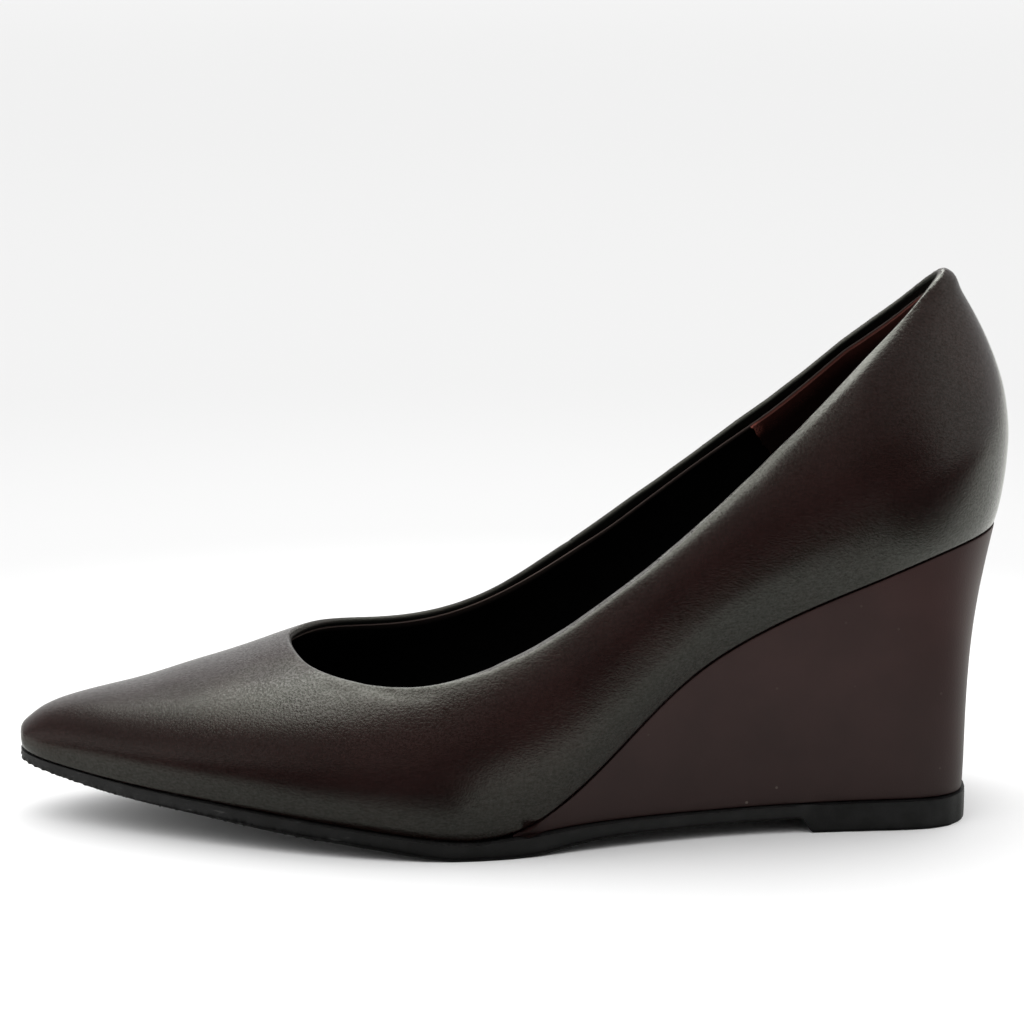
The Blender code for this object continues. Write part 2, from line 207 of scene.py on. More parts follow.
# Creases of the upper: ends on the outer surface, width and depth, all in millimetres, ridges below zero;
# each is felt up to some widths from its middle
CREASE_REACH = 3
Crease = namedtuple("Crease", "start end width depth")
CREASES = (
    Crease((-45.2, -24.2, 37.7), (-41.5, -26.8, 37.1), 0.9, 0.14),
    Crease((-37.0, -27.1, 38.6), (-31.0, -30.0, 38.0), 1.3, 0.30),
    Crease((-30.0, -30.8, 37.8), (-22.5, -32.5, 38.2), 1.8, 0.20),
    Crease((-60.5, -9.6, 38.8), (-52.5, -14.0, 40.0), 4.5, 0.32),
    Crease((-84.0, -4.6, 32.2), (-81.0, -6.6, 32.6), 3.0, 0.15),
    Crease((-36.0, 31.0, 41.0), (-26.0, 34.0, 40.0), 2.0, 0.25),
    Crease((15.6, 23.4, 60.6), (16.4, 24.6, 57.0), 1.0, 0.30),
    Crease((97.6, -7.6, 123.6), (100.4, -6.6, 125.6), 1.1, 0.16),
    Crease((98.6, -8.4, 121.6), (101.0, -7.2, 123.4), 1.0, -0.16),
    Crease((118.0, 0.0, 106.0), (106.5, 0.0, 127.0), 10.0, -0.70),
    Crease((-96.0, 10.0, 30.0), (-84.0, 10.0, 33.0), 12.0, -0.45),
    Crease((-74.0, 12.0, 36.0), (-58.0, 12.0, 41.0), 12.0, -0.60),
)

# How much higher the topline stands along the inner side: places along the shoe and heights in millimetres
INNER_RISE = ((-6.0, 0.0), (14.0, 0.95), (28.0, 0.85), (40.0, 0.5), (46.0, 0.5),
              (59.0, 1.05), (66.0, 1.05), (75.0, 0.85), (88.0, 0.65), (99.0, 0.0))

# How much lower the topline stands along the outer side, in the same way
OUTER_FALL = ((-14.0, 0.0), (-6.0, 0.38), (3.0, 0.82), (10.0, 0.72), (18.0, 0.38), (23.0, 0.38),
              (31.0, 0.65), (38.0, 0.82), (45.0, 0.80), (53.0, 0.45), (61.0, 0.0))

# Heel grip in millimetres: its frayed upper front corner, the reach of the fraying, and the distances from
# its rim at which the painted light along the rim ends and the painted shade deeper in the shoe sets in
FRAYED_CORNER = (61.2, 21.9, 89.7)
FRAYED_REACH = (1.0, 3.4)
PAINTED_LIGHT_AT_RIM = (0.3, 3.4)
PAINTED_SHADE_DEPTH = (2.2, 6.0)

# Light around the shoe: direction, the angles from it where the light is whole and where it is gone, its
# brightness, and whether only gloss or only matt surfaces see it, each laid over those before it; then the
# brightness of all the rest, and what the camera itself sees around the floor
GLOSS = "gloss"
MATT = "matt"
Softbox = namedtuple("Softbox", "toward whole gone brightness seen_by")
SOFTBOXES = (
    Softbox((0.94, -0.08, 0.34), 35, 75, 0.68, None),
    Softbox((-0.40, -0.88, 0.20), 50, 100, 0.08, MATT),
    Softbox((-0.70, -0.58, 0.42), 40, 95, 0.16, GLOSS),
    Softbox((0.26, -0.96, -0.05), 14, 40, 0.04, GLOSS),
    Softbox((0.0, 0.87, 0.50), 14, 34, 0.90, None),
    Softbox((-0.94, -0.33, 0.11), 12, 34, 0.45, GLOSS),
    Softbox((-0.86, 0.48, 0.17), 16, 44, 3.4, MATT),
    Softbox((-0.22, 0.40, 0.89), 25, 88, 2.02, MATT),
)
SURROUND = 0.55
SEEN_SURROUND = 0.9

# Painted shade of the floor, darker with its distance from the shoe as the light falls off: start and end of
# each step in millimetres, and its share of the floor's colour; the floor lies a little below the shoe
FLOOR_FADES = (
    (130.0, 330.0, 0.708),
    (280.0, 680.0, 0.655),
    (700.0, 2500.0, 0.642),
    (3000.0, 9000.0, 0.658),
)
FLOOR_GAP = 0.05 * MM

# Dark card on the floor along the outer side, in millimetres: its edge's distance at the toe, how far the
# edge draws back at the ball and beside the wedge, how soft it is, also beside the waist, the slant of the
# waist's part, and where ball, wedge and waist begin and end
CARD_EDGE = 40.0
CARD_BACK_AT_BALL = 7.0
CARD_BACK_AT_WEDGE = 170.0
CARD_SOFT = 26.0
CARD_SOFT_AT_WAIST = 1200.0
CARD_SLANT = 0.14
CARD_BALL = (-75.0, -40.0)
CARD_WEDGE_BEGINS = (-20.0, 60.0)
CARD_WEDGE_ENDS = (120.0, 190.0)
CARD_WAIST_BEGINS = (-25.0, 10.0)
CARD_WAIST_ENDS = (42.0, 72.0)

# Floor as the gloss shows it: its shade away from the wedge, and where the glow behind the heel begins along
# the shoe and across it, in millimetres
GLOSS_SHADE = 0.88
GLOW_ALONG = (105.0, 165.0)
GLOW_ACROSS = (-140.0, -90.0)

# Panels above the shoe that only its gloss shows: their ends along the shoe and across it in metres, and
# their share of the panels' power; the front one fades toward the camera in steps
PANEL_COLOUR = (1.0, 1.0, 0.955)
LightPanel = namedtuple("LightPanel", "left right front back share")
PANELS = (
    LightPanel(-0.17, 0.0, -0.055, 0.12, 0.92),
    LightPanel(-0.17, 0.0, -0.085, -0.055, 0.75),
    LightPanel(-0.17, 0.0, -0.115, -0.085, 0.50),
    LightPanel(-0.17, 0.0, -0.15, -0.115, 0.22),
    LightPanel(0.0, 0.115, -0.01, 0.10, 1.30),
)

# What all colour settings share
COLOUR = {"subtype": "COLOR", "size": 4, "min": 0.0, "max": 1.0}


class UpperSettings(PropertyGroup):
    """Sizes and colours of the leather upper."""

    colour: FloatVectorProperty(
        name="Leather", description="Base colour of the upper's leather",
        default=(0.0168, 0.0055, 0.0050, 1.0), **COLOUR)
    deep_colour: FloatVectorProperty(
        name="Leather shade", description="Darker patches of the upper's leather",
        default=(0.0128, 0.0041, 0.0037, 1.0), **COLOUR)
    # Painted highlight: colour of the line painted along the near topline's rounded edge
    rim_highlight_colour: FloatVectorProperty(
        name="Rim", description="Colour of the rubbed line along the near topline",
        default=(0.105, 0.101, 0.096, 1.0), **COLOUR)
    roughness: FloatProperty(
        name="Roughness", description="Roughness of the polished leather", subtype="FACTOR",
        default=0.215, min=0.0, max=1.0)
    edge_round: FloatProperty(
        name="Edge round", description="Rounding of the topline's edge", unit="LENGTH", default=0.85 * MM)
    feather_round: FloatProperty(
        name="Feather round", description="Rounding of the edge that meets wedge and outsole", unit="LENGTH",
        default=0.42 * MM)
    feather_out: FloatProperty(
        name="Feather out", description="How far the lower edge comes out to the outsole's rim",
        unit="LENGTH", default=0.45 * MM)
    feather_down: FloatProperty(
        name="Feather down", description="How far the lower edge comes down to the outsole", unit="LENGTH",
        default=0.22 * MM)
    peak: FloatVectorProperty(
        name="Peak", description="Highest point of the topline at the heel", subtype="TRANSLATION",
        default=(103.4 * MM, 0.0, 129.6 * MM))
    peak_fill: FloatProperty(
        name="Peak fill", description="How far the rolled edge stands out at the peak", unit="LENGTH",
        default=1.5 * MM)
    peak_lift: FloatProperty(
        name="Peak lift", description="How far the rolled edge stands up at the peak", unit="LENGTH",
        default=0.25 * MM)
    facing: FloatProperty(
        name="Facing", description="Width of leather turned in below the topline behind the side seam",
        unit="LENGTH", default=2.4 * MM)
    front_facing: FloatProperty(
        name="Front facing",
        description="Width of leather turned in below the topline ahead of the side seam",
        unit="LENGTH", default=1.35 * MM)
    grain: FloatProperty(
        name="Grain", description="Size of a cell of the leather's grain", unit="LENGTH", default=0.36 * MM)
    seam_x: FloatProperty(
        name="Side seam", description="Place of the inner side's seam along the shoe", unit="LENGTH",
        default=16.0 * MM)


class InsideSettings(PropertyGroup):
    """Sizes and colours of lining, heel grip and sock."""

    lining_colour: FloatVectorProperty(
        name="Lining", description="Colour of the lining",
        default=(0.0015, 0.0014, 0.0014, 1.0), **COLOUR)
    edge_colour: FloatVectorProperty(
        name="Lining edge", description="Colour of the lining's cut edge",
        default=(0.165, 0.122, 0.110, 1.0), **COLOUR)
    grip_colour: FloatVectorProperty(
        name="Heel grip", description="Colour of the suede heel grip",
        default=(0.054, 0.0170, 0.0132, 1.0), **COLOUR)
    lining_drop: FloatProperty(
        name="Lining drop", description="Reach of the lining below the upper's lower edge", unit="LENGTH",
        default=0.34 * MM)
    lining_thickness: FloatProperty(
        name="Lining thickness", description="How far the lining stands off the wall", unit="LENGTH",
        default=0.38 * MM)
    grip_thickness: FloatProperty(
        name="Grip thickness", description="Thickness of the suede heel grip", unit="LENGTH",
        default=0.75 * MM)
    grip_front: FloatVectorProperty(
        name="Grip front", description="Upper corner of the heel grip's front edge", subtype="TRANSLATION",
        default=(61.2 * MM, 0.0, 89.7 * MM))
    grip_slant: FloatProperty(
        name="Grip slant", description="Lean of the grip's front edge from upright", unit="ROTATION",
        default=math.radians(37))


class WedgeSettings(PropertyGroup):
    """Sizes and colours of the covered wedge."""

    colour: FloatVectorProperty(
        name="Cover", description="Colour of the wedge's cover leather",
        default=(0.0424, 0.0200, 0.0183, 1.0), **COLOUR)
    roughness: FloatProperty(
        name="Roughness", description="Roughness of the cover leather", subtype="FACTOR",
        default=0.46, min=0.0, max=1.0)
    edge_round: FloatProperty(
        name="Edge round", description="Rounding of the cover's edges", unit="LENGTH", default=0.60 * MM)
    back_fill: FloatProperty(
        name="Back fill", description="How far the cover swells at the back", unit="LENGTH",
        default=0.22 * MM)
    back_height: FloatProperty(
        name="Back height", description="Height of the fullest place of the back", unit="LENGTH",
        default=58.0 * MM)


class OutsoleSettings(PropertyGroup):
    """Sizes and colours of the rubber outsole."""

    colour: FloatVectorProperty(
        name="Rubber", description="Colour of the outsole's rubber",
        default=(0.0088, 0.0088, 0.0090, 1.0), **COLOUR)
    edge_round: FloatProperty(
        name="Edge round", description="Rounding of the tread's edge at the toe", unit="LENGTH",
        default=1.8 * MM)
    ripple: FloatProperty(
        name="Ripple", description="Depth of the rough forefoot edge", unit="LENGTH", default=0.42 * MM)
    groove: FloatProperty(
        name="Groove", description="Depth of the line along the forefoot edge", unit="LENGTH",
        default=0.42 * MM)


class StageSettings(PropertyGroup):
    """Camera, floor and light of the studio."""

    camera_place: FloatVectorProperty(
        name="Camera", description="Place of the camera", subtype="TRANSLATION",
        default=(-47.05 * MM, -646.89 * MM, 209.6 * MM))
    camera_target: FloatVectorProperty(
        name="Target", description="Point that the camera looks at", subtype="TRANSLATION",
        default=(-0.094 * MM, 1.41 * MM, 73.56 * MM))
    lens: FloatProperty(
        name="Lens", description="Focal length on a 36 mm sensor", unit="CAMERA", default=96.98)
    floor_size: FloatProperty(
        name="Floor", description="Length of the floor's sides", unit="LENGTH", default=24.0)
    floor_colour: FloatVectorProperty(
        name="Floor colour", description="Colour of the pale floor",
        default=(0.93, 0.93, 0.93, 1.0), **COLOUR)
    gloss_colour: FloatVectorProperty(
        name="Floor in gloss", description="Colour of the floor as the shoe's gloss shows it",
        default=(0.64, 0.65, 0.62, 1.0), **COLOUR)
    glow_colour: FloatVectorProperty(
        name="Glow", description="Light of the floor behind the heel that only the shoe's gloss shows",
        default=(0.42, 0.42, 0.40, 1.0), **COLOUR)
    panel_height: FloatProperty(
        name="Panel height", description="Height of the light panels that the gloss shows", unit="LENGTH",
        default=0.20)
    panel_power: FloatProperty(
        name="Panel power", description="Power of the light panels in watts for each square metre",
        default=13.2, min=0.0)
    flag_colour: FloatVectorProperty(
        name="Flag", description="Dark card on the floor along the outer side that only the gloss shows",
        default=(0.02, 0.02, 0.02, 1.0), **COLOUR)


class Wire:
    """A socket whose sums, differences and products add Math nodes."""

    def __init__(self, bench, socket):
        self.bench = bench
        self.socket = socket

    def math(self, operation, first, second):
        return self.bench.node("ShaderNodeMath", {"operation": operation}, {0: first, 1: second})

    def __add__(self, other):
        return self.math("ADD", self, other)

    def __radd__(self, other):
        return self.math("ADD", other, self)

    def __sub__(self, other):
        return self.math("SUBTRACT", self, other)

    def __rsub__(self, other):
        return self.math("SUBTRACT", other, self)

    def __mul__(self, other):
        return self.math("MULTIPLY", self, other)

    def __rmul__(self, other):
        return self.math("MULTIPLY", other, self)


class Bench:
    """A node tree to which nodes are added with their settings and sockets."""

    def __init__(self, tree):
        self.tree = tree

    def feed(self, socket, value):
        """Link a wire to a socket, or set the socket's own value."""
        if isinstance(value, Wire):
            self.tree.links.new(value.socket, socket)
        else:
            socket.default_value = value

    def node(self, kind, settings=None, sockets=None, output=0):
        """Add a node with its settings, feed its sockets, and return one of its outputs as a wire."""
        made = self.tree.nodes.new(kind)
        for name, value in (settings or {}).items():
            setattr(made, name, value)
        for name, value in (sockets or {}).items():
            self.feed(made.inputs[name], value)
        return Wire(self, made.outputs[output])

    def step(self, value, low, high):
        """Return a soft step from 0 at one value to 1 at another."""
        return self.node("ShaderNodeMapRange", {"interpolation_type": "SMOOTHSTEP"},
                         {"Value": value, "From Min": low, "From Max": high})

    def fall(self, value, low, high):
        """Return a soft step from 1 at one value to 0 at another."""
        return 1.0 - self.step(value, low, high)

    def blend(self, share, first, second):
        """Mix two colours."""
        return self.node("ShaderNodeMix", {"data_type": "RGBA"}, {0: share, 6: first, 7: second}, 2)


class Finish(Bench):
    """A material with one shader, and the textures that feed it."""

    def __init__(self, name, **constants):
        self.material = bpy.data.materials.new(name)
        self.material.use_nodes = True
        super().__init__(self.material.node_tree)
        self.shader = self.tree.nodes["Principled BSDF"]
        self.set(constants)
        place = self.node("ShaderNodeTexCoord", output="Object")
        self.place = self.node("ShaderNodeVectorMath", {"operation": "SCALE"}, {0: place, "Scale": 1 / MM})

    def set(self, values):
        """Feed sockets of the shader by name."""
        for name, value in values.items():
            self.feed(self.shader.inputs[name], value)

    def stretched(self, scale):
        """Return the place on the piece with each axis scaled."""
        return self.node("ShaderNodeVectorMath", {"operation": "MULTIPLY"}, {0: self.place, 1: scale})

    def axis(self, name):
        """Return the place along one axis in millimetres."""
        return self.node("ShaderNodeSeparateXYZ", None, {0: self.place}, name)

    def cloud(self, size, detail, place=None):
        """Return noise whose patches have a size in millimetres."""
        return self.node("ShaderNodeTexNoise", None,
                         {"Vector": place or self.place, "Scale": 1 / size, "Detail": detail})

    def cells(self, size):
        """Return the distance from the middle of cells of a size in millimetres."""
        return self.node("ShaderNodeTexVoronoi", None, {"Vector": self.place, "Scale": 1 / size})

    def mark(self, name):
        """Return a number that is stored on the piece's points."""
        return self.node("ShaderNodeAttribute", {"attribute_name": name}, None, "Fac")

    def relief(self, height, depth):
        """Feed the shader's normal with a height map of a depth in millimetres."""
        sockets = {"Strength": 1.0, "Distance": depth * MM, "Height": height}
        self.set({"Normal": self.node("ShaderNodeBump", None, sockets)})


def shade_of(colour, share):
    """Return a colour made darker or lighter."""
    return (colour[0] * share, colour[1] * share, colour[2] * share, 1.0)


def upper_finish(sizes):
    """Smooth dark brown leather with fine grain and wrinkles below the topline, a painted highlight along the
    near topline and painted shade where it faces down or is turned in.
    """
    finish = Finish("upper_leather", **{"Specular IOR Level": 0.36, "Specular Tint": GLOSS_TINT,
                                        "Coat Roughness": 0.26})
    along = finish.axis("X")
    across = finish.axis("Y")
    up = finish.axis("Z")
    from_edge = finish.mark("from_topline")
    upward = finish.mark("upward")
    turned_in = 1.0 - finish.mark("outside")
    mottle = finish.cloud(22.0, 3.0)
    grain = finish.cells(sizes.grain / MM)
    pores = finish.step(finish.cloud(0.55, 3.0), 0.32, 0.68)
    strokes = finish.cloud(0.5, 2.0, finish.stretched(STROKE_STRETCH))
    front = finish.step(along, *COARSE_BEGINS) * finish.fall(along, *COARSE_ENDS)
    coarse = 0.45 + front * finish.fall(from_edge, *COARSE_BELOW) * 0.55

    # Painted highlight along the near side of the topline, broken into dashes and fading toward the peak
    dashes = 0.35 + finish.step(finish.cloud(1.6, 2.0), 0.35, 0.65) * 0.65
    line = finish.fall(from_edge, *PAINTED_RIM_HIGHLIGHT) * finish.fall(across, *PAINTED_RIM_HIGHLIGHT_SIDE) * dashes
    line = line * finish.fall(along, *PAINTED_RIM_HIGHLIGHT_ENDS)
    slanted = along * WRINKLE_ALONG + up * WRINKLE_UP
    athwart = up * WRINKLE_ALONG - along * WRINKLE_UP
    wrinkle_place = finish.node("ShaderNodeCombineXYZ", None, {"X": slanted * 1.9, "Y": athwart * 0.35})
    wrinkles = finish.cloud(1.0, 1.0, wrinkle_place)
    wrinkled = finish.fall(from_edge, *WRINKLES_BELOW) * finish.step(slanted, *WRINKLES_BEGIN)
    seam_off = finish.node("ShaderNodeMath", {"operation": "ABSOLUTE"}, {0: along - sizes.seam_x / MM})
    seam = finish.fall(seam_off, *SEAM_WIDTH) * finish.step(across, *SEAM_SIDE)

    # Painted shade: the leather is painted darker where it faces down and where it is turned in inside the
    # shoe; the pores mottle it
    shade = 0.5 + finish.step(upward, -0.25, 0.12) * 0.5 + finish.step(upward, 0.1, 0.4) * 0.15
    shade = shade * (0.8 + pores * 0.4) * (1.0 - turned_in * 0.65)
    colour = finish.blend(finish.step(mottle, 0.35, 0.68), tuple(sizes.deep_colour), tuple(sizes.colour))
    colour = finish.node("ShaderNodeVectorMath", {"operation": "SCALE"}, {0: colour, "Scale": shade})
    colour = finish.blend(line, colour, tuple(sizes.rim_highlight_colour))
    colour = finish.blend(seam * 0.7, colour, shade_of(sizes.deep_colour, 0.4))
    roughness = sizes.roughness + (mottle - 0.5) * 0.08 + turned_in * 0.45
    polish = 0.3 + (pores - 0.5) * coarse * 0.6 + (strokes - 0.5) * (1.0 - coarse) * 1.6 - turned_in
    finish.set({"Base Color": colour, "Roughness": roughness, "Coat Weight": polish})
    height = (grain * 0.6 + pores * 0.7) * (0.35 + coarse * 0.65) + strokes * (1.0 - coarse) * 0.6
    finish.relief(height + wrinkles * wrinkled * 2.0 - seam * 2.4, 0.05)
    return finish.material


def lining_finish(colour, edge_colour):
    """Matt black lining with a fine nap and a paler cut edge."""
    finish = Finish("lining", **{"Specular IOR Level": 0.06})
    nap = finish.cloud(0.35, 3.0)
    worn = finish.cloud(9.0, 2.0)
    cut = finish.mark("cut_edge")
    base = finish.blend(finish.step(worn, 0.4, 0.75), colour, shade_of(colour, 1.7))
    finish.set({"Base Color": finish.blend(cut, base, edge_colour), "Roughness": 0.62 + nap * 0.25})
    finish.relief(nap, 0.04)
    return finish.material


def grip_finish(colour):
    """Dark red-brown suede with a brushed nap and a paler frayed corner, with painted light along its rim and
    painted shade deeper inside the shoe.
    """
    finish = Finish("heel_grip", **{"Specular IOR Level": 0.1, "Sheen Weight": 0.2, "Sheen Roughness": 0.5,
                                    "Sheen Tint": shade_of(colour, 9.0)})
    nap = finish.cloud(0.4, 4.0)
    brushed = finish.cloud(3.0, 3.0, finish.stretched((0.5, 1.0, 1.0)))
    from_rim = finish.mark("from_rim")
    base = finish.blend(finish.step(brushed, 0.3, 0.7), shade_of(colour, 0.62), colour)
    base = finish.blend(finish.step(nap, 0.38, 0.66), shade_of(colour, 0.55), base)
    base = finish.blend(finish.step(nap, 0.52, 0.72) * 0.6, base, shade_of(colour, 2.2))
    # Painted light along the rim, where light falls into the shoe, and painted shade deeper inside it
    base = finish.blend(finish.step(from_rim, *PAINTED_LIGHT_AT_RIM), shade_of(colour, 1.7), base)
    base = finish.blend(finish.step(from_rim, *PAINTED_SHADE_DEPTH), base, shade_of(colour, 0.08))
    corner = finish.node("ShaderNodeVectorMath", {"operation": "DISTANCE"},
                         {0: finish.place, 1: FRAYED_CORNER}, "Value")
    frayed = finish.fall(corner, *FRAYED_REACH) * finish.step(nap, 0.35, 0.55)
    base = finish.blend(frayed * 0.8, base, shade_of(colour, 8.0))
    finish.set({"Base Color": base, "Roughness": 0.9 + nap * 0.1})
    finish.relief(nap + brushed * 0.4, 0.12)
    return finish.material


def sock_finish(colour):
    """Black sock leather with a soft grain."""
    finish = Finish("sock_leather", **{"Specular IOR Level": 0.4})
    grain = finish.cells(0.9)
    worn = finish.cloud(14.0, 3.0)
    base = finish.blend(worn, colour, shade_of(colour, 2.2))
    finish.set({"Base Color": base, "Roughness": 0.5 + worn * 0.2})
    finish.relief(grain, 0.05)
    return finish.material


def wedge_finish(sizes):
    """Matt brown cover leather with fine grain and pale specks, more specked at its foot, with painted shade
    darkening it toward its foot.
    """
    finish = Finish("wedge_leather", **{"Specular IOR Level": 0.26})
    up = finish.axis("Z")
    grain = finish.cells(0.5)
    pores = finish.cloud(0.25, 1.0)
    mottle = finish.step(finish.cloud(18.0, 3.0), 0.3, 0.7)
    specks = finish.fall(finish.cells(7.5), 0.035, 0.06)
    low = finish.fall(up, *SPECKED_FOOT)
    base = finish.blend(mottle, shade_of(sizes.colour, 0.88), shade_of(sizes.colour, 1.08))
    # Painted shade: the cover is painted darker toward its foot
    base = finish.blend(0.36 - finish.step(up, *COVER_PAINTED_SHADE) * 0.36, base, BLACK)
    base = finish.blend(specks * (0.08 + low * 0.3), base, SPECK_COLOUR)
    finish.set({"Base Color": base, "Roughness": sizes.roughness + (pores - 0.5) * 0.12})
    finish.relief(grain * 0.5 + pores * 0.5, 0.03)
    return finish.material


def outsole_finish(sizes):
    """Black rubber with a rough forefoot edge, scuffs along the ball and a fine tread below."""
    finish = Finish("sole_rubber", **{"Specular IOR Level": 0.22})
    along = finish.axis("X")
    crumb = finish.cloud(0.5, 4.0)
    dust = finish.cloud(5.0, 3.0)
    scratches = finish.cloud(1.2, 3.0, finish.stretched((0.18, 1.0, 2.2)))
    front = finish.fall(along, *SCUFFS_END)
    scuff = finish.step(scratches, 0.62, 0.72) * finish.step(dust, 0.45, 0.65) * front
    ripples = finish.node("ShaderNodeTexWave", {"wave_type": "BANDS", "bands_direction": "X"},
                          {"Vector": finish.place, "Scale": 0.13, "Distortion": 0.0})
    tread = ripples * finish.step(finish.mark("under"), 0.75, 0.95)
    dull = finish.step(dust, 0.35, 0.7)
    base = finish.blend(dull, shade_of(sizes.colour, 0.8), shade_of(sizes.colour, 1.4))
    # The rubber is a little paler ahead of the lift
    base = finish.blend(finish.fall(along, *PALER_FRONT_ENDS) * 0.06, base, PALE_RUBBER_COLOUR)
    base = finish.blend(scuff * 0.35, base, PALE_RUBBER_COLOUR)
    finish.set({"Base Color": base, "Roughness": 0.5 + (crumb - 0.5) * 0.3})
    finish.relief(crumb * (0.4 + front * 0.6) + tread * 4.0, 0.12)
    return finish.material


def choose(piece):
    """Select one piece alone and make it the active one."""
    bpy.ops.object.select_all(action="DESELECT")
    piece.select_set(True)
    bpy.context.view_layer.objects.active = piece


@contextmanager
def editing(piece):
    """Put one piece alone in edit mode, with nothing of it selected."""
    choose(piece)
    bpy.ops.object.mode_set(mode="EDIT")
    bpy.ops.mesh.select_mode(type="VERT")
    bpy.ops.mesh.select_all(action="DESELECT")
    yield bmesh.from_edit_mesh(piece.data)
    bpy.ops.object.mode_set(mode="OBJECT")


def pick(piece, grid, items, test):
    """Select the vertices, edges or faces that pass a test."""
    for item in items:
        if test(item):
            item.select_set(True)
    grid.select_flush_mode()
    bmesh.update_edit_mesh(piece.data)


def merged_copy(node, name):
    """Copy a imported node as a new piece, with its triangles merged back into the grid they were cut from."""
    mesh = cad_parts[node].data.copy()
    mesh.name = name
    mesh.materials.clear()
    piece = bpy.data.objects.new(name, mesh)
    bpy.context.scene.collection.objects.link(piece)
    with editing(piece):
        bpy.ops.mesh.select_all(action="SELECT")
        bpy.ops.mesh.customdata_custom_splitnormals_clear()
        bpy.ops.mesh.remove_doubles(threshold=MERGE_DISTANCE)
        bpy.ops.mesh.mark_sharp(clear=True)
        bpy.ops.mesh.tris_convert_to_quads(face_threshold=math.pi, shape_threshold=math.pi,
                                           topology_influence=GRID_FIRST)
    return piece


def is_rim(edge):
    """Tell whether the faces at an edge meet at a rim."""
    return edge.calc_face_angle(0.0) > RIM_ANGLE


def sharp_loops(grid):
    """Return the loops of rim edges as ordered lists of vertices."""
    rims = set(filter(is_rim, grid.edges))
    loops = []
    while rims:
        loop = list(rims.pop().verts)
        ahead = True
        while ahead:
            ahead = next((edge for edge in loop[-1].link_edges if edge in rims), None)
            if ahead:
                rims.remove(ahead)
                loop.append(ahead.other_vert(loop[-1]))
        loops.append(loop[:-1])
    return loops


def mean_height(loop):
    """Return the mean height of a loop of vertices."""
    return sum(vertex.co.z for vertex in loop) / len(loop)


def length_of(loop):
    """Return how long a loop of vertices is along the shoe."""
    return max(vertex.co.x for vertex in loop) - min(vertex.co.x for vertex in loop)


def number_rows(piece, sizes, below_facing=0.0):
    """Number the wall's rows, up the outside, over the topline and down inside; return the inner top row.

    The row below the inner topline is moved to the lower edge of the facing, or to a distance below it.
    """
    grid = bmesh.new()
    grid.from_mesh(piece.data)
    rows = grid.verts.layers.int.new("row")
    outside = grid.verts.layers.float.new("outside")
    lowest = sorted(sharp_loops(grid), key=mean_height)[:2]
    outer, inner = sorted(lowest, key=length_of, reverse=True)
    seen = set(inner)
    rings = []
    ring = outer
    while ring[0] is not None:
        rings.append(ring)
        seen.update(ring)
        ring = [next((edge.other_vert(vertex) for edge in vertex.link_edges
                      if edge.other_vert(vertex) not in seen), None) for vertex in ring]
    rings.append(inner)
    inner_top = len(rings) // 2
    for row, ring in enumerate(rings):
        for vertex in ring:
            vertex[rows] = row
            vertex[outside] = float(row < inner_top)
    for top, below in zip(rings[inner_top], rings[inner_top + 1]):
        behind = soft_step(top.co.x, sizes.seam_x, sizes.seam_x + SEAM_RISE)
        facing = sizes.front_facing + (sizes.facing - sizes.front_facing) * behind
        below.co = top.co + (below.co - top.co).normalized() * (facing + below_facing)
    grid.to_mesh(piece.data)
    grid.free()
    return inner_top


def span(layer, item):
    """Return the lowest and highest value that a layer holds on an edge's or face's vertices."""
    found = [vertex[layer] for vertex in item.verts]
    return min(found), max(found)


def apply(piece, kind, **settings):
    """Add a modifier with its settings and apply it."""
    choose(piece)
    modifier = piece.modifiers.new(kind.lower(), kind)
    for name, value in settings.items():
        setattr(modifier, name, value)
    bpy.ops.object.modifier_apply(modifier=modifier.name)


def subdivide(piece, levels):
    """Smooth a piece by subdivision, its points first moved so that the surface passes where they were.

    The close rows of points along rounded rims stay as they are.
    """
    vertices = piece.data.vertices
    aims = {vertex.index: vertex.co.copy() for vertex in vertices}
    for edge in piece.data.edges:
        first, second = edge.vertices
        if (vertices[first].co - vertices[second].co).length < RIM_STEP:
            aims.pop(first, None)
            aims.pop(second, None)
    trial = piece.modifiers.new("trial", "SUBSURF")
    trial.levels = trial.render_levels = levels
    for _ in range(FIT_ROUNDS):
        smoothed = piece.evaluated_get(bpy.context.evaluated_depsgraph_get()).to_mesh()
        for index, aim in aims.items():
            vertices[index].co += aim - smoothed.vertices[index].co
        piece.data.update()
    piece.modifiers.remove(trial)
    apply(piece, "SUBSURF", levels=levels, render_levels=levels)


def smooth(piece):
    """Shade a piece smooth apart from its sharp edges."""
    choose(piece)
    bpy.ops.object.shade_smooth_by_angle(angle=SHADING_ANGLE)


def store(piece, name, values):
    """Store a number on each point of a piece."""
    mark = piece.data.attributes.new(name, "FLOAT", "POINT")
    mark.data.foreach_set("value", values)


def read(piece, name):
    """Return the numbers that are stored on a piece's points."""
    return [mark.value for mark in piece.data.attributes[name].data]


def tree_of(points):
    """Return points as a tree in which the nearest of them are found."""
    tree = kdtree.KDTree(len(points))
    for index, point in enumerate(points):
        tree.insert(point, index)
    tree.balance()
    return tree


def densified(points):
    """Return points with more of them put between near neighbours."""
    tree = tree_of(points)
    more = list(points)
    for point in points:
        for other, _, _ in tree.find_n(point, 3)[1:]:
            more += [point.lerp(other, share / LINE_STEPS) for share in range(1, LINE_STEPS)]
    return more


def distances(piece, points):
    """Return each vertex's distance in millimetres from the nearest of some points."""
    tree = tree_of(points)
    return [tree.find(vertex.co)[2] / MM for vertex in piece.data.vertices]


def normals_of(piece):
    """Return copies of the vertices' normals, which stay as they are while the vertices move."""
    return [vertex.normal.copy() for vertex in piece.data.vertices]


